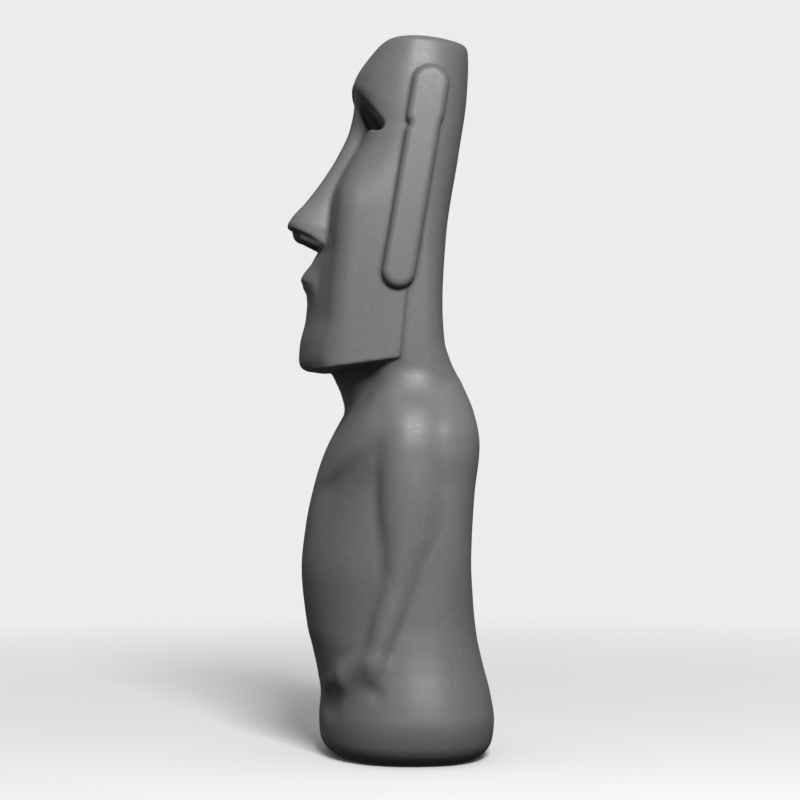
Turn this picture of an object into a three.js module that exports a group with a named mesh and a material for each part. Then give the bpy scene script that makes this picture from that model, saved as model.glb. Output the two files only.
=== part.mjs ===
// A moai: a full-figure statue carved from one block of stone, with a long head, long ears, arms held at
// the sides and hands on the low belly. Millimetres, +Z up, facing -Y, with its left side towards +X. The
// origin is at the middle of the flat underside.
//
// The form is a field that is negative inside the stone. The figure's profiles and carving are shares of its
// height, in hundredths, so a place of 74 is 74% of the way up. A sphere's vertices are then moved onto the
// surface of that field.
import * as THREE from "three";
import { mergeVertices } from "three/addons/utils/BufferGeometryUtils.js";

// Driving dimensions
const HEIGHT = 4000;
const HEAD_WIDTH = 1056; // across the cheeks, without the ears
const BODY_WIDTH = 1360; // across the waist, without the arms
const FOOT_WIDTH = 1536;
const EAR_THICKNESS = 52; // how far an ear stands out from the head
const FOOT_EDGE_WIDTH = 120; // where the foot's side turns under
const CROWN_EDGE_WIDTH = 40; // where the head's sides turn over

// The same, in hundredths of the height
const SHARE = HEIGHT / 100;
const headSide = HEAD_WIDTH / 2 / SHARE;
const bodySide = BODY_WIDTH / 2 / SHARE;
const footSide = FOOT_WIDTH / 2 / SHARE;
const earStand = EAR_THICKNESS / SHARE;
const footEdge = FOOT_EDGE_WIDTH / SHARE;
const crownEdge = CROWN_EDGE_WIDTH / SHARE;

const { clamp, smoothstep, degToRad } = THREE.MathUtils;

// A smooth line through [height, value] points, which never swings past them.
function curve(...points) {
  const last = points.length - 1;
  const grade = (i) => (points[i + 1][1] - points[i][1]) / (points[i + 1][0] - points[i][0]);
  const slope = points.map((_, i) => {
    if (i === 0) return grade(0);
    if (i === last) return grade(last - 1);
    const below = grade(i - 1);
    const above = grade(i);
    return below * above > 0 ? (2 * below * above) / (below + above) : 0;
  });
  return (height) => {
    const h = clamp(height, points[0][0], points[last][0]);
    let i = 0;
    while (i < last - 1 && h > points[i + 1][0]) i += 1;
    const span = points[i + 1][0] - points[i][0];
    const t = (h - points[i][0]) / span;
    const from = points[i][1] * (1 + 2 * t) + slope[i] * span * t;
    const to = points[i + 1][1] * (3 - 2 * t) - slope[i + 1] * span * (1 - t);
    return from * (1 - t) ** 2 + to * t ** 2;
  };
}

// Two forms as one, and what two forms share, each with the corner between them rounded over a width.
function join(a, b, rounding) {
  const near = Math.max(rounding - Math.abs(a - b), 0) / rounding;
  return Math.min(a, b) - (near * near * rounding) / 4;
}

function meet(a, b, rounding) {
  return -join(-a, -b, rounding);
}

// A rounded outline in the level plane: half is its half width, and it has a depth and a squareness of its
// own in front and behind.
function outline(x, y, half, front, back, frontPower, backPower) {
  const depth = y < 0 ? front : back;
  const power = y < 0 ? frontPower : backPower;
  const radius = Math.hypot(x, y) + 1e-6;
  const reach = ((x / half) ** power + (Math.abs(y) / depth) ** power) ** (1 / power) + 1e-6;
  return radius - radius / reach;
}

// A tapered rod with round ends.
function limb(x, y, z, from, to, fromRadius, toRadius) {
  const along = [to[0] - from[0], to[1] - from[1], to[2] - from[2]];
  const away = [x - from[0], y - from[1], z - from[2]];
  const dot = (p, q) => p[0] * q[0] + p[1] * q[1] + p[2] * q[2];
  const t = clamp(dot(away, along) / dot(along, along), 0, 1);
  const gap = Math.hypot(away[0] - t * along[0], away[1] - t * along[1], away[2] - t * along[2]);
  return gap - fromRadius - t * (toRadius - fromRadius);
}

function egg(x, y, z, centre, radii) {
  const [across, ahead, up] = [x - centre[0], y - centre[1], z - centre[2]];
  const reach = Math.hypot(across / radii[0], ahead / radii[1], up / radii[2]);
  return (reach - 1) * Math.min(...radii);
}

// Profiles of the side view: how far forward (-) or back (+) the stone reaches at each height
const backLine = curve(
  [0, 11.1], [2, 11.6], [5, 11.85], [9, 11.25], [13, 10.2], [17, 9.3], [22, 8.7], [28, 8.25], [36, 8.6],
  [43.5, 9.35], [48, 8.75], [52, 7.25], [55, 5.75], [58, 4.8], [63, 4.5], [72, 5], [84, 6.9], [92, 8.1],
  [97, 8.35], [100, 8.2],
);
const bellyLine = curve(
  [0, -11.8], [2, -12.2], [5, -12.35], [8.5, -12.15], [11, -12.5], [14.5, -13.25], [18, -14.1], [26, -14.9],
  [32, -14.3], [38, -13], [42, -11.6], [46.5, -9.2], [50, -7], [54, -4],
);
const throatLine = curve([44, -7.8], [48.75, -8.8], [50.5, -9.3], [52.5, -10.2], [55, -11.5]);
const muzzleLine = curve(
  [53.5, -14.9], [55.5, -15.25], [57.5, -15.1], [61, -14.3], [64, -14], [66.6, -13.6], [69, -13.1],
  [72.5, -11.6],
);
const lipSwell = curve([63.4, 0], [64.8, 0.35], [65.8, 1.1], [66.6, 1.45], [67.4, 1.2], [69, 0.35], [71, 0]);
const cheekLine = curve(
  [53, -12.2], [62, -12.1], [70.5, -11.7], [76, -11.2], [78.3, -10.8], [80.6, -9.8], [83.3, -8.4],
  [85.5, -7.3], [87, -6.8], [89, -7], [92, -7.2],
);
const noseLine = curve(
  [68, -16.9], [74.2, -16.9], [75.2, -16.4], [77.5, -14.35], [80.5, -12.05], [84, -9.85], [88, -8.05],
  [91.5, -7.45], [94, -7.6],
);
const noseRoot = curve([68, -9.5], [78.5, -9.5], [82, -8], [85, -6], [88, -4.8], [94, -4.5]);
const browLine = curve(
  [50, -4.5], [54, -6.2], [58, -7.3], [91.5, -7.4], [93.3, -7.6], [93.9, -7.65], [94.6, -7.45], [95.7, -6.95],
  [97.4, -5.8], [100.5, -3.2],
);
const jawRear = curve([53, -2.7], [55.2, -2.4], [64, -1.5], [95, 1.6]);
const armFront = curve(
  [14, -7.8], [20, -6.6], [23.5, -5.7], [26.7, -5.1], [30, -5.2], [35, -5.5], [42, -5.5], [50, -5],
);
const armRear = curve([14, -4.1], [18.3, -2.4], [22.7, -0.7], [27.4, 0.9], [31, 2.6], [36, 3.6], [50, 3.6]);

// Half widths at each height
const bodyHalf = curve(
  [0, footSide - 2.6], [1.5, footSide - 1.6], [3, footSide - 0.8], [4.7, footSide - 0.2], [6.5, footSide],
  [9, footSide - 0.35], [12, footSide - 1.05], [15, bodySide + 0.55], [19, bodySide], [38, bodySide],
  [42, bodySide + 0.3], [45, bodySide], [46.5, bodySide - 0.5], [48.5, bodySide - 1.7], [51, bodySide - 3.4],
  [53, bodySide - 5.2], [56, bodySide - 8.5],
);
const armSide = curve(
  [11, bodySide - 0.8], [14, bodySide - 0.1], [18, bodySide + 0.35], [26, bodySide + 0.6],
  [31, bodySide + 0.8], [38, bodySide + 1], [43, bodySide + 0.8], [46, bodySide + 0.2],
  [48.5, bodySide - 0.9], [50.5, bodySide - 2.5], [52, bodySide - 4.3],
);
const headHalf = curve(
  [44, headSide - 0.4], [54, headSide], [64, headSide], [76, headSide - 0.2], [86, headSide - 0.6],
  [94, headSide - 1.1], [100, headSide - 2.1],
);
const noseHalf = curve([70, 5], [73.5, 4.9], [76, 4.2], [80, 3.4], [86, 2.8], [90, 2.7], [93, 3.3]);

// Squareness of the plan at each height: 2 is an oval, and more is squarer
const bellyPower = curve([0, 2.25], [12, 2.2], [24, 2], [36, 2.05], [44, 2.7], [50, 3]);
const backPower = curve([0, 2.35], [20, 2.7], [30, 3.4], [44, 3.6], [50, 3]);
const skullPower = curve([50, 2.4], [54, 2.7], [58, 4.4], [74, 4.4], [86, 2.8], [92, 2.7], [97, 2.5]);

// The body from the foot to the shoulders, with a shallow hollow between the chest and the belly
function torso(x, y, z) {
  const middle = 0.5;
  const front = middle - bellyLine(z);
  const form = outline(x, y - middle, bodyHalf(z), front, backLine(z) - middle, bellyPower(z), backPower(z));
  const chestEdge = 36.9 + 0.03 * x * x;
  const underChest = smoothstep(z, 24, 35) * (1 - smoothstep(z, chestEdge - 1.2, chestEdge + 1.2));
  const hollow = underChest * smoothstep(x, 3, 9) * smoothstep(-y, 2, 5);
  return meet(meet(form + 0.6 * hollow, -z, footEdge), z - 54, 2);
}

// The arm stands out from the body's side, with a steep front edge and a soft rear one.
function arm(x, y, z) {
  const thickness = 4;
  const middle = (armFront(z) + armRear(z)) / 2;
  const half = (armRear(z) - armFront(z)) / 2;
  const inward = Math.abs(x - armSide(z) + thickness);
  const form = outline(inward, y - middle, thickness, half, half, 2.4, 2.4);
  return meet(meet(form, 10 - z, 2), z - 51, 3);
}

function hand(x, y, z) {
  const palm = limb(x, y, z, [14.9, -5.9, 14], [11, -9, 12], 1.8, 1.6);
  const fingers = limb(x, y, z, [11, -9, 12], [5.2, -10.9, 9.9], 1.6, 0.9);
  return join(palm, fingers, 1);
}

// The dips between the hand and the foot
function groin(x, y, z) {
  const underFingers = egg(x, y, z, [9.6, -12.4, 8.1], [4.6, 2.8, 2.5]);
  const underWrist = egg(x, y, z, [17.3, -6.9, 10.2], [1, 1, 0.8]);
  return Math.min(underFingers, underWrist);
}

function neck(x, y, z) {
  const form = outline(x, y + 1, 9.8, -1 - throatLine(z), backLine(z) + 1, 2.3, 2.6);
  return meet(meet(form, z - 57, 1), 44 - z, 3);
}

// The brow droops from the bridge of the nose to the temple.
const BROW = 94; // where the brow's underside is at the bridge of the nose
const browAt = (x) => BROW - 0.28 * x - 0.025 * x * x;

// The jaw's underside rises towards the neck.
const jawAt = (y) => 53.7 + 0.14 * (y + 15);

// The head's upright faces, before the face is carved into them
function headWall(x, y, z) {
  const middle = 0.6;
  const half = headHalf(z) - 0.35 * (1 - smoothstep(z, 74, 86));
  return outline(x, y - middle, half, middle - browLine(z), backLine(z) - middle, skullPower(z), 2.7);
}

// The block of the head behind the face, which overhangs the eyes and runs down into the shoulders
function skull(x, y, z) {
  const wall = -4.6 - 4 * (1 - smoothstep(z, 55, 60));
  const underBrow = Math.min((browAt(x) - z) * 0.9, wall - y);
  return meet(meet(headWall(x, y, z), underBrow, 0.3), 46 - z, 3);
}

function cheeks(x, y, z) {
  const front = cheekLine(z);
  const forward = clamp((y + 3) / (front + 3), 0, 1.1);
  const above = smoothstep(z, 79, 88);
  const side = (x - headHalf(z) + 1.2 * forward * forward) * (1 - above) + headWall(x, y, z) * above;
  const form = meet(front + 0.8 * (x / 12) ** 2 - y, side, 2.2 - 1.2 * above);
  return meet(meet(form, y - jawRear(z), 0.3), z - browAt(x) - 0.6, 0.3);
}

// Mouth and chin
function muzzle(x, y, z) {
  const corner = (x / 6.4) ** 2;
  const level = z + 1.3 * corner;
  const parting = 0.14 * Math.exp(-(((level - 66.1) / 0.35) ** 2));
  const swell = Math.max(0, 1 - corner) * (lipSwell(level) - parting);
  const front = muzzleLine(z) + 3.2 * (x / 12) ** 2.2 - swell;
  const form = meet((front - y) * 0.85, x - headHalf(z) + 1.2, 1.5);
  return meet(meet(form, y + 8, 0.5), z - 72, 0.8);
}

function nose(x, y, z) {
  const root = noseRoot(z);
  const bridge = outline(x, y - root, noseHalf(z), root - noseLine(z), 4, 3, 3);
  const back = y + 16.9;
  const wingEdge = (73.85 - 0.35 * back - 0.036 * back * back - z) * 0.9;
  const tip = limb(x, y, z, [0, -14.7, 73.1], [0, -12, 72.4], 1.5, 1.5);
  return meet(join(meet(bridge, wingEdge, 0.3), tip, 0.6), z - BROW, 0.5);
}

// The slot under the brow, which widens away from the nose
function eyeSlot(x, y, z) {
  const height = 0.8 + 1.9 * smoothstep(x, 3, 9.5);
  const level = Math.abs(z - browAt(x) + height / 2) - height / 2;
  const deepest = -1.2 - headWall(x, y, z);
  return meet(meet(meet(level * 0.8, y + 4.5, 0.9), 2 - x, 0.5), deepest, 0.3);
}

function ear(x, y, z) {
  const wide = 2.3 + 0.25 * smoothstep(z, 87.2, 88.8);
  const rim = limb(0, y, z, [0, -2.6, 67.3], [0, 1.9, 93], wide, wide);
  const nick = Math.hypot(y + 1.85, z - 87.4) - 0.7;
  const face = x - headHalf(z) - earStand;
  return meet(meet(meet(rim, -nick, 0.3), face, 1), 9 - x, 0.5);
}

const crownAt = (x, y) => 100 - 0.2 * (x / 11) ** 2.5 - 0.8 * smoothstep(y, 0, 8.25);

// The whole figure, whose two sides mirror each other
function figure(side, y, z) {
  const x = Math.abs(side);
  const behind = smoothstep(y, 0, 5);
  const throat = 0.05 + 2 * (1 - smoothstep(z, 51, 56.5)) * (1 - behind);
  const column = join(neck(x, y, z), skull(x, y, z), throat);
  let body = join(torso(x, y, z), arm(x, y, z), 1.2);
  body = meet(join(body, hand(x, y, z), 1.6), -groin(x, y, z), 1.4);
  body = join(body, column, 1.2 + 1.3 * smoothstep(y, -8, -3) - 2.2 * behind);
  const chin = 0.3 + 0.9 * (1 - smoothstep(x, 3, 9));
  let face = join(cheeks(x, y, z), muzzle(x, y, z), 1);
  face = meet(join(face, nose(x, y, z), 0.5), jawAt(y) - z, chin);
  let form = join(body, face, 0.3 - 0.28 * smoothstep(z, 80, 85));
  form = meet(form, -eyeSlot(x, y, z), 0.25);
  form = join(form, ear(x, y, z), 0.25);
  return Math.max(meet(form, z - crownAt(x, y), crownEdge), -z);
}

// Heights of the rows of vertices: [height, rows from there to the next]
const ROWS = [
  [0, 1], [0.15, 1], [0.6, 1], [1.3, 1], [2.4, 2], [6.5, 1], [8, 5], [17, 7], [44, 4], [52.4, 1], [53.5, 1],
  [53.9, 1], [55, 4], [64, 5], [69, 2], [71.2, 5], [75.5, 5], [86, 6], [93.9, 1], [94.1, 1], [95.2, 3],
  [98, 2], [99.3, 1], [99.7, 0],
];
// Bearings of the columns of vertices, from the front round to the back, in degrees, in the same way
const COLUMNS = [
  [0, 4], [14, 4], [34, 3], [48, 4], [62, 3], [76, 1], [78.6, 2], [82, 2], [90, 2], [98, 2], [101.4, 1],
  [105, 5], [140, 4], [180, 0],
];
const CROWN_RINGS = [0.96, 0.85, 0.6, 0.3]; // shares of the way out from the middle of the crown
const FOOT_RINGS = [0.5];
const JUST_ABOVE = 0.002; // where the underside's outline is taken, because the underside itself isn't inside

function spread(stations) {
  const places = [];
  stations.forEach(([from, count], i) => {
    for (let n = 0; n < count; n += 1) places.push(from + ((stations[i + 1][0] - from) * n) / count);
  });
  places.push(stations[stations.length - 1][0]);
  return places;
}

// The rows bend to follow the jaw's underside and the brow.
function bend(height, bearing) {
  const turn = degToRad(bearing);
  const jawRise = 1.6 * (1 - Math.cos(Math.min(turn, Math.PI / 2)));
  const temple = 12 * Math.min(1, Math.sin(Math.min(turn, Math.PI / 2)) / 0.91) ** 1.3;
  const browDrop = BROW - browAt(temple);
  const nearJaw = smoothstep(height, 46, 53.5) * (1 - smoothstep(height, 55, 66));
  const nearBrow = smoothstep(height, 80, 91) * (1 - smoothstep(height, 94.2, 99.3));
  const beforeEar = 1 - smoothstep(bearing, 60, 100);
  return height + nearJaw * jawRise - nearBrow * beforeEar * browDrop;
}

// Rays start on a line up the middle of the stone, which leans with the ears.
const axisAt = curve([0, -0.5], [30, -2], [46, -2.5], [56, -4.2], [69.4, -2.2], [95, 2.2], [100, 2.6]);

// How far along a ray the surface lies, coming in from outside
function reach(inside, far) {
  let out = far;
  while (out > 0 && !inside(out)) out -= 0.4;
  let low = out;
  let high = out + 0.4;
  for (let n = 0; n < 24; n += 1) {
    const middle = (low + high) / 2;
    if (inside(middle)) low = middle;
    else high = middle;
  }
  return low;
}

function surfacePoint(row, bearing, mirror) {
  const side = Math.sin(degToRad(bearing)) * mirror;
  const ahead = -Math.cos(degToRad(bearing));
  const rows = heights.length;
  const onFoot = row - FOOT_RINGS.length - 1;
  const level = clamp(onFoot, 0, rows - 1);
  const z = Math.max(bend(heights[level], bearing), JUST_ABOVE);
  const axis = axisAt(heights[level]);
  const out = reach((r) => figure(side * r, axis + ahead * r, z) < 0, 24);
  if (onFoot < 0) {
    const share = row === 0 ? 0 : FOOT_RINGS[row - 1];
    return [side * out * share, axis + ahead * out * share, 0];
  }
  if (onFoot < rows) return [side * out, axis + ahead * out, onFoot === 0 ? 0 : z];
  const ring = onFoot - rows;
  const share = ring === CROWN_RINGS.length ? 0 : CROWN_RINGS[ring];
  const x = side * out * share;
  const y = axis + ahead * out * share;
  return [x, y, reach((h) => figure(x, y, h) < 0, 101)];
}

const heights = spread(ROWS);
const bearings = spread(COLUMNS);

function statueGeometry() {
  const columns = 2 * (bearings.length - 1);
  const rows = heights.length + FOOT_RINGS.length + CROWN_RINGS.length + 1;
  const sphere = new THREE.SphereGeometry(1, columns, rows);
  sphere.rotateX(Math.PI / 2);
  sphere.rotateZ(Math.PI / 2);
  sphere.deleteAttribute("normal");
  sphere.deleteAttribute("uv");
  const geometry = mergeVertices(sphere, 1e-5);
  const position = geometry.getAttribute("position");
  const direction = new THREE.Vector3();
  for (let i = 0; i < position.count; i += 1) {
    direction.fromBufferAttribute(position, i);
    const row = Math.round((Math.acos(clamp(-direction.z, -1, 1)) / Math.PI) * rows);
    const turn = Math.atan2(Math.abs(direction.x), -direction.y);
    const column = Math.round((turn / (2 * Math.PI)) * columns);
    const [x, y, z] = surfacePoint(row, bearings[column], Math.sign(direction.x));
    position.setXYZ(i, x * SHARE, y * SHARE, z * SHARE);
  }
  geometry.computeVertexNormals();
  return geometry;
}

const stone = new THREE.MeshStandardMaterial({ color: 0x6e6e6e, roughness: 0.6, metalness: 0 });
const statue = new THREE.Mesh(statueGeometry(), stone);
statue.name = "moai_statue";

const moai = new THREE.Group();
moai.add(statue);
export default moai;
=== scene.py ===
# A moai: a full-figure statue carved from one block of smooth dark grey stone, standing by its own weight.
# Metres, +Z up, facing -Y, with its left side towards +X and the middle of its underside at the origin.
import math

import bpy
import numpy as np
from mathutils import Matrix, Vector


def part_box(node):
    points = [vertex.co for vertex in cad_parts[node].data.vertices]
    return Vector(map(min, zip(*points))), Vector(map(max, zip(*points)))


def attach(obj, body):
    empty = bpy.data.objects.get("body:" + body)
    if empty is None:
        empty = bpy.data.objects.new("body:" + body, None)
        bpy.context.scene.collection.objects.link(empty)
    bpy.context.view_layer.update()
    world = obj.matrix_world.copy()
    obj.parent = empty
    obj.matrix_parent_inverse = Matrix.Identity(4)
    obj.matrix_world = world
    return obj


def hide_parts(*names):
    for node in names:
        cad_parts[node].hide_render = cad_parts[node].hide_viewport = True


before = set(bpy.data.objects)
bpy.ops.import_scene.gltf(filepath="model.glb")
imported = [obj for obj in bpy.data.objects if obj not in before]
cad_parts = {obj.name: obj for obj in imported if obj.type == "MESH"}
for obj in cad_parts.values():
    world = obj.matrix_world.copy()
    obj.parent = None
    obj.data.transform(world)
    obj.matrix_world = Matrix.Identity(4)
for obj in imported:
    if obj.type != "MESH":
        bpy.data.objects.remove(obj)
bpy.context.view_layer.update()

NODE = "moai_statue"
low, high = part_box(NODE)

# The form is a field that is negative inside the stone. The figure's profiles and carving are shares of its
# height, in hundredths, so a place of 74 is 74% of the way up.
HEIGHT = high[2] - low[2]
SHARE = HEIGHT / 100
FOOT_SIDE = (high[0] - low[0]) / 2 / SHARE
HEAD_SIDE = 13.2  # half the width across the cheeks
BODY_SIDE = 17.0  # half the width across the waist, without the arms
BROW = 94.0  # the brow's underside at the bridge of the nose
NOSE_TIP = -16.9  # how far forward the nose reaches
LIPS = 66.1  # where the lips part
JAW = 53.7  # the jaw's underside at the chin
CHIN_FRONT = -15.0
EAR_STAND = 1.3  # how far an ear stands out from the head
FOOT_ROUNDING = 3.0
CROWN_ROUNDING = 1.0
CRISP_EDGE = 0.3  # the rounding of a carved edge
CRISP_CORNER = 0.25  # the rounding round an ear and an eye slot


def curve(*points):
    """A smooth line through (height, value) points, which never swings past them."""
    places = np.array([point[0] for point in points], float)
    values = np.array([point[1] for point in points], float)
    grade = np.diff(values) / np.diff(places)
    slope = np.zeros(len(places))
    slope[0] = grade[0]
    slope[-1] = grade[-1]
    for i in range(1, len(places) - 1):
        if grade[i - 1] * grade[i] > 0:
            slope[i] = 2 * grade[i - 1] * grade[i] / (grade[i - 1] + grade[i])

    def at(height):
        h = np.clip(height, places[0], places[-1])
        i = np.clip(np.searchsorted(places, h) - 1, 0, len(places) - 2)
        span = places[i + 1] - places[i]
        t = (h - places[i]) / span
        before = values[i] * (1 + 2 * t) + slope[i] * span * t
        after = values[i + 1] * (3 - 2 * t) - slope[i + 1] * span * (1 - t)
        return before * (1 - t) ** 2 + after * t**2

    return at


def join(a, b, rounding):
    """Two forms as one, with the corner between them rounded over a width."""
    near = np.maximum(rounding - abs(a - b), 0) / rounding
    return np.minimum(a, b) - near * near * rounding / 4


def meet(a, b, rounding):
    """What two forms share, with its edge rounded over a width."""
    return -join(-a, -b, rounding)


def ramp(value, start, end):
    """0 up to the start, 1 from the end on, and a smooth rise between them"""
    t = np.clip((value - start) / (end - start), 0, 1)
    return t * t * (3 - 2 * t)


def outline(x, y, half, front, back, front_power, back_power):
    """A rounded outline in the level plane, with a depth and a squareness of its own in front and behind."""
    depth = np.where(y < 0, front, back)
    power = np.where(y < 0, front_power, back_power)
    radius = np.sqrt(x * x + y * y) + 1e-6
    reach = ((x / half) ** power + (abs(y) / depth) ** power) ** (1 / power) + 1e-6
    return radius - radius / reach


def limb(x, y, z, start, end, start_radius, end_radius):
    """A tapered rod with round ends."""
    along = np.subtract(end, start)
    away = (x - start[0], y - start[1], z - start[2])
    t = sum(away[n] * along[n] for n in range(3)) / np.dot(along, along)
    t = np.clip(t, 0, 1)
    gap = np.sqrt(sum((away[n] - t * along[n]) ** 2 for n in range(3)))
    return gap - start_radius - t * (end_radius - start_radius)


def egg(x, y, z, centre, radii):
    """A ball stretched to a radius of its own along each axis"""
    reach = np.sqrt(sum(((v - c) / r) ** 2 for v, c, r in zip((x, y, z), centre, radii)))
    return (reach - 1) * min(radii)


# Profiles of the side view: how far forward (-) or back (+) the stone reaches at each height
back_line = curve(
    (0, 11.1), (2, 11.6), (5, 11.85), (9, 11.25), (13, 10.2), (17, 9.3), (22, 8.7), (28, 8.25), (36, 8.6),
    (43.5, 9.35), (48, 8.75), (52, 7.25), (55, 5.75), (58, 4.8), (63, 4.5), (72, 5), (84, 6.9), (92, 8.1),
    (97, 8.35), (100, 8.2),
)
belly_line = curve(
    (0, -11.8), (2, -12.2), (5, -12.35), (8.5, -12.15), (11, -12.5), (14.5, -13.25), (18, -14.1),
    (26, -14.9), (32, -14.3), (38, -13), (42, -11.6), (46.5, -9.2), (50, -7), (54, -4),
)
throat_line = curve((44, -7.8), (48.75, -8.8), (50.5, -9.3), (52.5, -10.2), (55, -11.5))
muzzle_line = curve(
    (53.5, -14.9), (55.5, -15.25), (57.5, -15.1), (61, -14.3), (64, -14), (66.6, -13.6), (69, -13.1),
    (72.5, -11.6),
)
lip_swell = curve(  # how far the lips stand out from the muzzle
    (63.4, 0), (64.8, 0.35), (65.8, 1.1), (66.6, 1.45), (67.4, 1.2), (69, 0.35), (71, 0),
)
cheek_line = curve(
    (53, -12.2), (62, -12.1), (70.5, -11.7), (76, -11.2), (78.3, -10.8), (80.6, -9.8), (83.3, -8.3),
    (85.2, -7.1), (86.6, -6.4), (88, -5.6), (90, -5.3), (92, -5.2),
)
nose_line = curve(
    (68, NOSE_TIP), (74.2, NOSE_TIP), (75.2, -16.4), (77.5, -14.35), (80.5, -12.05), (84, -9.85),
    (88, -8.05), (91.5, -7.45), (94, -7.6),
)
nose_root = curve((68, -9.5), (78.5, -9.5), (82, -8), (85, -6), (88, -4.8), (94, -4.5))
brow_line = curve(
    (50, -4.5), (54, -6.2), (58, -7.3), (91.5, -7.4), (93.3, -7.6), (93.9, -7.65), (94.6, -7.45),
    (95.7, -6.95), (97.4, -5.8), (100.5, -3.2),
)
jaw_rear = curve((53, -2.7), (55.2, -2.4), (64, -1.5), (95, 1.6))
arm_front = curve(
    (14, -7.8), (20, -6.6), (23.5, -5.7), (26.7, -5.1), (30, -5.2), (35, -5.5), (42, -5.5), (50, -5),
)
arm_rear = curve(
    (14, -4.1), (18.3, -2.4), (22.7, -0.7), (27.4, 0.9), (31, 2.6), (36, 3.6), (50, 3.6),
)

# Half widths at each height
body_half = curve(
    (0, FOOT_SIDE - 2.6), (1.5, FOOT_SIDE - 1.6), (3, FOOT_SIDE - 0.8), (4.7, FOOT_SIDE - 0.2),
    (6, FOOT_SIDE), (8, FOOT_SIDE - 0.25), (10.5, FOOT_SIDE - 0.8), (13, BODY_SIDE + 0.8),
    (16, BODY_SIDE + 0.3), (19.5, BODY_SIDE), (38, BODY_SIDE), (42, BODY_SIDE + 0.3), (45, BODY_SIDE),
    (46.5, BODY_SIDE - 0.5), (48.5, BODY_SIDE - 1.7), (51, BODY_SIDE - 3.4), (53, BODY_SIDE - 5.2),
    (56, BODY_SIDE - 8.5),
)
arm_side = curve(
    (11, BODY_SIDE - 0.8), (14, BODY_SIDE - 0.1), (18, BODY_SIDE + 0.35), (26, BODY_SIDE + 0.6),
    (31, BODY_SIDE + 0.8), (38, BODY_SIDE + 1), (43, BODY_SIDE + 0.8), (46, BODY_SIDE + 0.2),
    (48.5, BODY_SIDE - 0.9), (50.5, BODY_SIDE - 2.5), (52, BODY_SIDE - 4.3),
)
head_half = curve(
    (44, HEAD_SIDE - 0.4), (54, HEAD_SIDE), (64, HEAD_SIDE), (76, HEAD_SIDE - 0.2),
    (86, HEAD_SIDE - 0.6), (94, HEAD_SIDE - 1.1), (100, HEAD_SIDE - 2.1),
)
nose_half = curve((70, 5), (73.5, 4.9), (76, 4.2), (80, 3.4), (86, 2.8), (90, 2.5), (93, 2.2))

# Squareness of the plan at each height: 2 is an oval, and more is squarer
belly_power = curve((0, 2.25), (12, 2.2), (24, 2), (36, 2.05), (44, 2.7), (48, 3.3), (52, 4))
back_power = curve((0, 2.35), (20, 2.7), (30, 3.4), (44, 3.6), (50, 3))
skull_power = curve((50, 2.4), (54, 2.7), (58, 4.4), (74, 4.4), (86, 2.8), (92, 2.7), (97, 2.5))


def torso(x, y, z):
    """The body from the foot to the shoulders, with a shallow hollow between the chest and the belly"""
    middle = 0.5
    front = middle - belly_line(z)
    back = back_line(z) - middle
    form = outline(x, y - middle, body_half(z), front, back, belly_power(z), back_power(z))
    chest_edge = 36.9 + 0.03 * x * x
    under_chest = ramp(z, 24, 35) * (1 - ramp(z, chest_edge - 1.2, chest_edge + 1.2))
    hollow = under_chest * ramp(x, 3, 9) * ramp(-y, 2, 5)
    return meet(meet(form + 0.6 * hollow, -z, FOOT_ROUNDING), z - 54, 2)


def arm(x, y, z):
    """The arm stands out from the body's side, with a steep front edge and a soft rear one."""
    thickness = 4
    middle = (arm_front(z) + arm_rear(z)) / 2
    half = (arm_rear(z) - arm_front(z)) / 2
    form = outline(abs(x - arm_side(z) + thickness), y - middle, thickness, half, half, 2.4, 2.4)
    return meet(meet(form, 10 - z, 2), z - 51, 3)


def hand(x, y, z):
    """A flat hand laid on the low belly, with its fingers towards the middle"""
    palm = limb(x, y, z, (14.9, -5.9, 14), (11, -9, 12), 1.8, 1.6)
    fingers = limb(x, y, z, (11, -9, 12), (5.2, -10.9, 9.9), 1.6, 0.9)
    return join(palm, fingers, 1)


def groin(x, y, z):
    """The dips between the hand and the foot"""
    under_fingers = egg(x, y, z, (9.6, -12.9, 8), (5, 1.9, 2.4))
    under_wrist = egg(x, y, z, (17.3, -6.9, 10.2), (1, 1, 0.8))
    return np.minimum(under_fingers, under_wrist)


def neck(x, y, z):
    """The throat and the nape, which run down into the body"""
    form = outline(x, y + 1, 9.8, -1 - throat_line(z), back_line(z) + 1, 2.3, 2.6)
    return meet(meet(form, z - 57, 1), 44 - z, 3)


def brow_at(x):
    """The brow droops from the bridge of the nose to the temple."""
    return BROW - 0.28 * x - 0.025 * x * x


def jaw_at(x, y):
    """The jaw's underside rises towards the neck, and sags in the middle."""
    sag = 0.85 * np.maximum(0, 1 - (x / 12) ** 2) * ramp(y, CHIN_FRONT, CHIN_FRONT + 4)
    return JAW + 0.14 * (y - CHIN_FRONT) - sag


def head_wall(x, y, z):
    """The head's upright faces. The forehead starts to slope back lower down where the brow droops."""
    middle = 0.6
    half = head_half(z) - 0.35 * (1 - ramp(z, 74, 86))
    droop = 0.7 * (BROW - brow_at(x)) * (1 - ramp(z, 86, 100))
    front = middle - brow_line(z + droop)
    return outline(x, y - middle, half, front, back_line(z) - middle, skull_power(z), 2.7)


def skull(x, y, z):
    """The block of the head behind the face, which overhangs the eyes and runs down into the shoulders"""
    wall = -4.6 - 4 * (1 - ramp(z, 55, 60))
    under_brow = np.minimum((brow_at(x) - z) * 0.9, wall - y)
    return meet(meet(head_wall(x, y, z), under_brow, CRISP_EDGE), 46 - z, 3)


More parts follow.
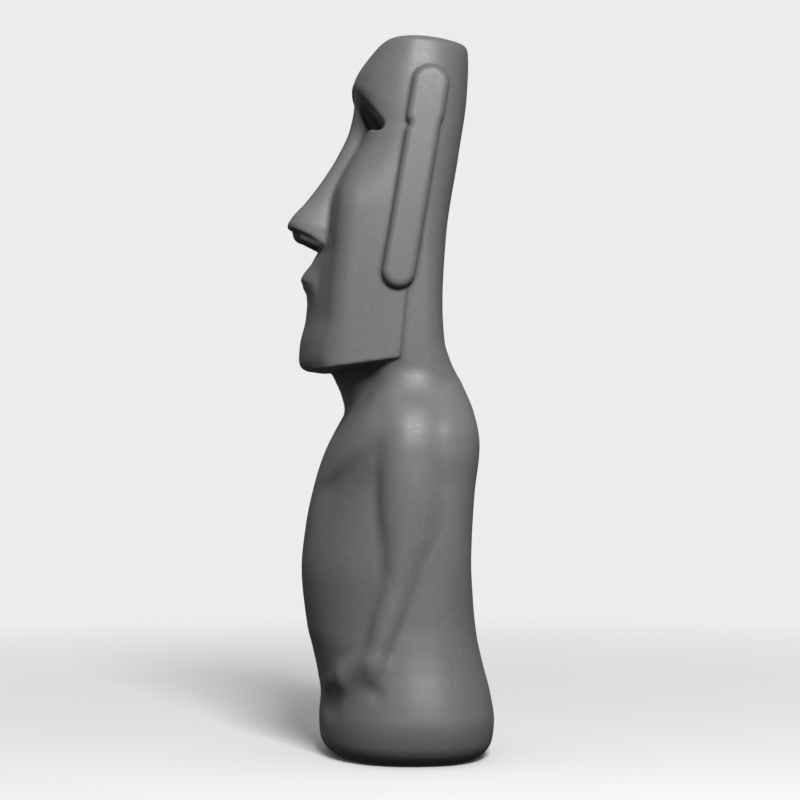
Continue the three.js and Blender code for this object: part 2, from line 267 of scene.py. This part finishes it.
def cheeks(x, y, z):
    """The face's flat front and sides below the brow, which pass into the head's walls higher up"""
    front = cheek_line(z)
    forward = np.clip((y + 3) / (front + 3), 0, 1.1)
    above = ramp(z, 76, 90)
    tapered = x - head_half(z) + 1.2 * forward * forward
    side = tapered * (1 - above) + head_wall(x, y, z) * above
    form = meet(front + 0.8 * (x / 12) ** 2 - y, side, 2.2 - 1.2 * above)
    return meet(meet(form, y - jaw_rear(z), CRISP_EDGE), z - brow_at(x) - 0.6, CRISP_EDGE)


def muzzle(x, y, z):
    """Mouth and chin"""
    corner = (x / 6.4) ** 2
    level = z + 1.3 * corner
    parting = 0.14 * np.exp(-(((level - LIPS) / 0.35) ** 2))
    swell = np.maximum(0, 1 - corner) * (lip_swell(level) - parting)
    front = muzzle_line(z) + 3.2 * (x / 12) ** 2.2 - swell
    form = meet((front - y) * 0.85, x - head_half(z) + 1.2, 1.5)
    return meet(meet(form, y + 8, 0.5), z - 72, 0.8)


def nose(x, y, z):
    """A long nose with wings that overhang the rims of the nostrils"""
    root = nose_root(z)
    bridge = outline(x, y - root, nose_half(z), root - nose_line(z), 4, 3, 3)
    back = y - NOSE_TIP
    wing_edge = (73.85 - 0.35 * back - 0.036 * back * back - z) * 0.9
    tip = limb(x, y, z, (0, -14.7, 73.1), (0, -12, 72.4), 1.5, 1.5)
    nostril_rim = limb(x, y, z, (2.6, -14.6, 72.6), (3.6, -12.4, 71.7), 0.8, 0.9)
    form = join(join(meet(bridge, wing_edge, CRISP_EDGE), tip, 0.6), nostril_rim, 0.7)
    return meet(form, z - BROW, 0.5)


def eye_slot(x, y, z):
    """The deep slot under the brow, cut in from the side up to the bridge of the nose"""
    set_back = 0.03 * (12 - x)  # it lies a little further back by the nose
    cut = limb(0, y - set_back, z, (0, -8.1, 92.8), (0, -5.1, 87.5), 0.3, 0.8)
    return meet(cut, 1.7 - x, 0.5)


def ear(x, y, z):
    """A long flat ear, broader at its top, with a nick in its front edge"""
    wide = 2.3 + 0.25 * ramp(z, 87.2, 88.8)
    rim = limb(0, y, z, (0, -2.6, 67.3), (0, 1.9, 93), wide, wide)
    nick = np.hypot(y + 1.85, z - 87.4) - 0.7
    face = x - head_half(z) - EAR_STAND
    return meet(meet(meet(rim, -nick, CRISP_EDGE), face, 1), 9 - x, 0.5)


def crown_at(x, y):
    """The crown falls a little towards its sides and back."""
    return 100 - 0.2 * (x / 11) ** 2.5 - 0.8 * ramp(y, 0, 8.25)


def figure(side, y, z):
    """The whole figure, whose two sides mirror each other"""
    x = abs(side)
    behind = ramp(y, 0, 5)
    throat = 0.05 + 2 * (1 - ramp(z, 51, 56.5)) * (1 - behind)
    column = join(neck(x, y, z), skull(x, y, z), throat)
    body = join(torso(x, y, z), arm(x, y, z), 0.8)
    body = meet(join(body, hand(x, y, z), 1.6), -groin(x, y, z), 1.4)
    body = join(body, column, 1.2 + 1.3 * ramp(y, -8, -3) - 2.2 * behind)
    chin_rounding = 0.3 + 0.9 * (1 - ramp(x, 3, 9))
    face = join(cheeks(x, y, z), muzzle(x, y, z), 1)
    face = meet(join(face, nose(x, y, z), 0.5), jaw_at(x, y) - z, chin_rounding)
    form = join(body, face, 0.3 - 0.28 * ramp(z, 80, 85))
    form = meet(form, -eye_slot(x, y, z), CRISP_CORNER)
    form = join(form, ear(x, y, z), CRISP_CORNER)
    return meet(meet(form, z - crown_at(x, y), CROWN_ROUNDING), -z, 0.05)


# The field is sampled on a grid whose lines lie closer where the carving is fine. Each grid line list has
# (place, step from there on) pairs, in hundredths of the height.
GRID_X = [(0, 0.32), (6, 0.44), (11, 0.32), (14.8, 0.5), (20.5, 0)]
GRID_Y = [(-18, 0.32), (4.8, 0.54), (13, 0)]
GRID_Z = [
    (-0.7, 0.3), (1.4, 0.48), (8, 0.4), (17, 0.55), (52, 0.29), (56, 0.39), (64, 0.29), (97, 0.36), (101, 0),
]
CORNERS = [(i, j, k) for i in (0, 1) for j in (0, 1) for k in (0, 1)]  # a grid cell's corners


def grid_lines(stations):
    """The places of the grid lines, evenly spaced between two stations"""
    lines = []
    for (place, step), (end, _) in zip(stations, stations[1:]):
        count = max(1, round((end - place) / step))
        lines.extend(np.linspace(place, end, count, endpoint=False))
    lines.append(stations[-1][0])
    return np.array(lines)


def sample(xs, ys, zs):
    """The field at every crossing of the grid lines"""
    slab = 32
    values = np.empty((len(xs), len(ys), len(zs)), np.float32)
    for k in range(0, len(zs), slab):
        heights = zs[None, None, k : k + slab]
        values[:, :, k : k + slab] = figure(xs[:, None, None], ys[None, :, None], heights)
    return values


def gradient(points):
    """The field's slope along each axis at each point"""
    nudge = 0.004
    steps = nudge * np.eye(3)
    slopes = [(figure(*(points + s).T) - figure(*(points - s).T)) / (2 * nudge) for s in steps]
    return np.stack(slopes, 1)


def cell_faces(inside, index, axis):
    """Four-sided faces round the grid edges along one axis that cross the surface"""
    others = [n for n in range(3) if n != axis]
    before = [slice(None)] * 3
    after = [slice(None)] * 3
    before[axis] = slice(0, -1)
    after[axis] = slice(1, None)
    leaving = inside[tuple(before)]
    edges = np.array(np.nonzero(leaving != inside[tuple(after)]))
    kept = np.ones(edges.shape[1], bool)
    for n in others:
        kept &= (edges[n] > 0) & (edges[n] < index.shape[n])
    edges = edges[:, kept]
    corners = []
    for first, second in ((0, 0), (1, 0), (1, 1), (0, 1)):
        cell = edges.copy()
        cell[others[0]] -= first
        cell[others[1]] -= second
        corners.append(index[tuple(cell)])
    faces = np.array(corners).T
    outward = leaving[tuple(edges)]
    if axis == 1:
        outward = ~outward
    faces[~outward] = faces[~outward][:, ::-1]
    return faces


def crossing_points(values, cell, lines):
    """In each cell, the mean place where its edges cross the surface"""
    total = np.zeros(cell.shape)
    count = np.zeros(cell.shape[1])
    for corner in CORNERS:
        for axis in range(3):
            if corner[axis]:
                continue
            near = cell + np.reshape(corner, (3, 1))
            far = near.copy()
            far[axis] += 1
            value = values[tuple(near)].astype(float)
            beyond = values[tuple(far)].astype(float)
            crosses = (value < 0) != (beyond < 0)
            t = np.where(crosses, value / np.where(crosses, value - beyond, 1), 0)
            for n in range(3):
                total[n] += np.where(crosses, corner[n] + (t if n == axis else 0), 0)
            count += crosses
    share = total / count
    size = np.stack([lines[n][cell[n] + 1] - lines[n][cell[n]] for n in range(3)], 1)
    points = np.stack([lines[n][cell[n]] for n in range(3)], 1) + share.T * size
    return points, size


def settle(points, size, middle):
    """Pulls the points onto the surface, and keeps those of the middle plane in it."""
    reach = size.min(1, keepdims=True) / 2
    points[middle, 0] = 0
    for _ in range(3):
        slope = gradient(points)
        steep = np.maximum((slope * slope).sum(1), 0.05)
        move = (figure(*points.T) / steep)[:, None] * slope
        length = np.linalg.norm(move, axis=1, keepdims=True)
        points -= move * np.minimum(1, reach / np.maximum(length, 1e-9))
        points[middle, 0] = 0


def carve():
    """Points and four-sided faces of the half figure: one point in each grid cell that the surface crosses"""
    xs = grid_lines(GRID_X)
    xs = np.concatenate([[-xs[1] / 2, xs[1] / 2], xs[1:] + xs[1] / 2])
    ys = grid_lines(GRID_Y)
    zs = grid_lines(GRID_Z)
    values = sample(xs, ys, zs)
    inside = values < 0
    cells = tuple(n - 1 for n in inside.shape)
    filled = sum(
        inside[i : i + cells[0], j : j + cells[1], k : k + cells[2]].astype(np.int8) for i, j, k in CORNERS
    )
    cell = np.array(np.nonzero((filled > 0) & (filled < len(CORNERS))))
    index = -np.ones(cells, np.int64)
    index[tuple(cell)] = np.arange(cell.shape[1])
    faces = np.concatenate([cell_faces(inside, index, axis) for axis in range(3)])
    points, size = crossing_points(values, cell, (xs, ys, zs))
    middle = cell[0] == 0  # the first column of cells straddles the middle plane
    settle(points, size, middle)
    return points, faces, middle


def mirror(points, faces, middle):
    """Adds the figure's other side, which shares the points on the middle plane."""
    count = len(points)
    twin = np.arange(count) + count
    twin[middle] = np.nonzero(middle)[0]
    points = np.concatenate([points, points * [-1, 1, 1]])
    faces = np.concatenate([faces, twin[faces][:, ::-1]])
    used, faces = np.unique(faces, return_inverse=True)
    return points[used], faces.reshape(-1, 4)


def painted_shade_amount(points):
    """How much the stone closes in round each point: over 0 in a hollow, under 0 on an edge. It sets the
    painted shade in hollows and the painted light on edges of the stone's colour.
    """
    slope = gradient(points)
    normals = slope / np.maximum(np.linalg.norm(slope, axis=1, keepdims=True), 1e-9)
    distance = 0.8
    return 1 - figure(*(points + distance * normals).T) / distance


def make_statue():
    points, faces = mirror(*carve())
    mesh = bpy.data.meshes.new("carved_figure")
    mesh.vertices.add(len(points))
    mesh.vertices.foreach_set("co", (points * SHARE).ravel())
    mesh.loops.add(faces.size)
    mesh.loops.foreach_set("vertex_index", faces.ravel())
    mesh.polygons.add(len(faces))
    mesh.polygons.foreach_set("loop_start", np.arange(0, faces.size, 4))
    mesh.polygons.foreach_set("use_smooth", np.ones(len(faces), bool))
    mesh.update()
    mesh.validate()
    # Painted shade and light: from this attribute the stone's colour is painted darker in hollows and lighter
    # on edges
    hollow = mesh.attributes.new("hollow", "FLOAT", "POINT")
    hollow.data.foreach_set("value", painted_shade_amount(points).astype(np.float32))
    statue = bpy.data.objects.new("carved_figure", mesh)
    bpy.context.scene.collection.objects.link(statue)
    return statue


class Shader:
    """Short ways to add and link a material's nodes"""

    def __init__(self, name):
        self.material = bpy.data.materials.new(name)
        self.material.use_nodes = True
        self.tree = self.material.node_tree
        self.surface = self.tree.nodes["Principled BSDF"]

    def add(self, kind, **settings):
        node = self.tree.nodes.new(kind)
        for name, value in settings.items():
            setattr(node, name, value)
        return node

    def link(self, source, target):
        self.tree.links.new(source, target)

    def noise(self, where, scale, detail, roughness):
        node = self.add("ShaderNodeTexNoise")
        node.inputs["Scale"].default_value = scale
        node.inputs["Detail"].default_value = detail
        node.inputs["Roughness"].default_value = roughness
        self.link(where, node.inputs["Vector"])
        return node.outputs["Fac"]

    def spread(self, value, start, end, low_end, high_end):
        node = self.add("ShaderNodeMapRange")
        node.inputs["From Min"].default_value = start
        node.inputs["From Max"].default_value = end
        node.inputs["To Min"].default_value = low_end
        node.inputs["To Max"].default_value = high_end
        self.link(value, node.inputs["Value"])
        return node.outputs["Result"]

    def sum(self, *values):
        total = values[0]
        for value in values[1:]:
            node = self.add("ShaderNodeMath", operation="ADD")
            self.link(total, node.inputs[0])
            self.link(value, node.inputs[1])
            total = node.outputs[0]
        return total


def stone():
    """Fine-grained dark grey volcanic stone, rubbed smooth: faint clouds, fine grain and small pores, with
    painted shade in hollows and painted light on edges
    """
    s = Shader("smooth_grey_stone")
    where = s.add("ShaderNodeTexCoord").outputs["Object"]
    clouds = s.noise(where, 1.6, 4, 0.55)
    grain = s.noise(where, 38, 6, 0.6)
    speckle = s.noise(where, 240, 2, 0.5)
    pores = s.add("ShaderNodeTexVoronoi")
    pores.inputs["Scale"].default_value = 70
    s.link(where, pores.inputs["Vector"])
    # Painted shade: how closed in each point is, which paints hollows darker and edges lighter
    painted_shade_mask = s.add("ShaderNodeAttribute", attribute_name="hollow").outputs["Fac"]

    # Painted shade and light: hollows are painted a little darker and edges a little lighter, as shade and
    # light fall on them. Most values of a noise lie between the two that are named here.
    dim, bright = 0.3, 0.7
    stone_tone_and_painted_shade = s.sum(
        s.spread(clouds, dim, bright, -0.045, 0.045),
        s.spread(grain, dim, bright, -0.03, 0.03),
        s.spread(speckle, dim, bright, -0.02, 0.02),
        s.spread(painted_shade_mask, -0.3, 0.5, 0.53, 0.38),
    )
    ramp_node = s.add("ShaderNodeValToRGB")
    dark, light = ramp_node.color_ramp.elements
    dark.position = 0.2
    dark.color = (0.085, 0.084, 0.083, 1)
    light.position = 0.8
    light.color = (0.235, 0.235, 0.233, 1)
    s.link(stone_tone_and_painted_shade, ramp_node.inputs["Fac"])
    s.link(ramp_node.outputs["Color"], s.surface.inputs["Base Color"])

    s.link(s.spread(grain, dim, bright, 0.43, 0.53), s.surface.inputs["Roughness"])
    relief = s.sum(
        s.spread(grain, 0.25, 0.75, 0, 1),
        s.spread(speckle, 0.25, 0.75, 0, 0.35),
        s.spread(pores.outputs["Distance"], 0, 0.16, -0.5, 0),
    )
    bump = s.add("ShaderNodeBump")
    bump.inputs["Strength"].default_value = 0.16
    bump.inputs["Distance"].default_value = 0.0015
    s.link(relief, bump.inputs["Height"])
    s.link(bump.outputs["Normal"], s.surface.inputs["Normal"])
    return s.material


# The camera looks level at the statue's left side, slightly from its front.
FRAME_SIDE = 800  # the photograph's width and height in pixels
BEARING = 84  # degrees from the front round to the statue's left
DISTANCE = 14.0
AIM = Vector((0, -0.04, 1.9875))
FOCAL_PIXELS = 2474
SENSOR = 36.0


def towards(bearing):
    turn = math.radians(bearing)
    return Vector((math.sin(turn), -math.cos(turn), 0))


def point_at(thing, target):
    thing.rotation_mode = "QUATERNION"
    thing.rotation_quaternion = (target - thing.location).to_track_quat("-Z", "Y")


def make_camera():
    camera = bpy.data.objects.new("camera", bpy.data.cameras.new("camera"))
    bpy.context.scene.collection.objects.link(camera)
    camera.location = AIM + towards(BEARING) * DISTANCE
    point_at(camera, AIM)
    camera.data.sensor_width = SENSOR
    camera.data.lens = SENSOR * FOCAL_PIXELS / FRAME_SIDE
    camera.data.clip_end = 200
    bpy.context.scene.camera = camera


def make_light(name, bearing, distance, height, side, power):
    light = bpy.data.objects.new(name, bpy.data.lights.new(name, "AREA"))
    bpy.context.scene.collection.objects.link(light)
    light.location = towards(bearing) * distance + Vector((0, 0, height))
    light.data.size = side
    light.data.energy = power
    point_at(light, Vector((0, 0, HEIGHT / 2)))


def make_world(overhead, below, backdrop):
    """Soft light from all round, more of it from above, in front of an even pale backdrop"""
    world = bpy.data.worlds.new("studio")
    bpy.context.scene.world = world
    world.use_nodes = True
    nodes = world.node_tree.nodes
    links = world.node_tree.links
    seen = nodes["Background"]
    seen.inputs["Color"].default_value = (1, 1, 1, 1)
    seen.inputs["Strength"].default_value = backdrop
    around = nodes.new("ShaderNodeBackground")
    around.inputs["Color"].default_value = (1, 1, 1, 1)
    direction = nodes.new("ShaderNodeTexCoord")
    split = nodes.new("ShaderNodeSeparateXYZ")
    rise = nodes.new("ShaderNodeMapRange")
    rise.inputs["From Min"].default_value = -0.3
    rise.inputs["From Max"].default_value = 1
    rise.inputs["To Min"].default_value = below
    rise.inputs["To Max"].default_value = overhead
    links.new(direction.outputs["Generated"], split.inputs["Vector"])
    links.new(split.outputs["Z"], rise.inputs["Value"])
    links.new(rise.outputs["Result"], around.inputs["Strength"])
    path = nodes.new("ShaderNodeLightPath")
    mix = nodes.new("ShaderNodeMixShader")
    links.new(path.outputs["Is Camera Ray"], mix.inputs["Fac"])
    links.new(around.outputs["Background"], mix.inputs[1])
    links.new(seen.outputs["Background"], mix.inputs[2])
    links.new(mix.outputs["Shader"], nodes["World Output"].inputs["Surface"])


def make_floor():
    """A round pale floor, whose rim fades into the backdrop"""
    radius = 9.0
    full_until = 2.2
    s = Shader("pale_floor")
    s.surface.inputs["Base Color"].default_value = (0.92, 0.92, 0.91, 1)
    s.surface.inputs["Roughness"].default_value = 0.8
    s.surface.inputs["Specular IOR Level"].default_value = 0.2
    where = s.add("ShaderNodeTexCoord").outputs["Object"]
    length = s.add("ShaderNodeVectorMath", operation="LENGTH")
    s.link(where, length.inputs[0])
    s.link(s.spread(length.outputs["Value"], full_until, radius - 0.5, 1, 0), s.surface.inputs["Alpha"])
    bpy.ops.mesh.primitive_circle_add(vertices=96, radius=radius, fill_type="NGON", location=(0, 0, low[2]))
    floor = bpy.context.object
    floor.name = "floor"
    floor.data.materials.append(s.material)
    floor.visible_diffuse = False  # the floor throws no light up at the stone
    floor.visible_glossy = False


make_camera()
statue = make_statue()
statue.data.materials.append(stone())
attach(statue, "root")
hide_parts(NODE)

make_floor()
make_world(overhead=0.45, below=0.03, backdrop=0.84)
make_light("key", bearing=BEARING + 12, distance=18, height=14, side=6, power=5200)
bpy.context.scene.view_settings.view_transform = "Standard"
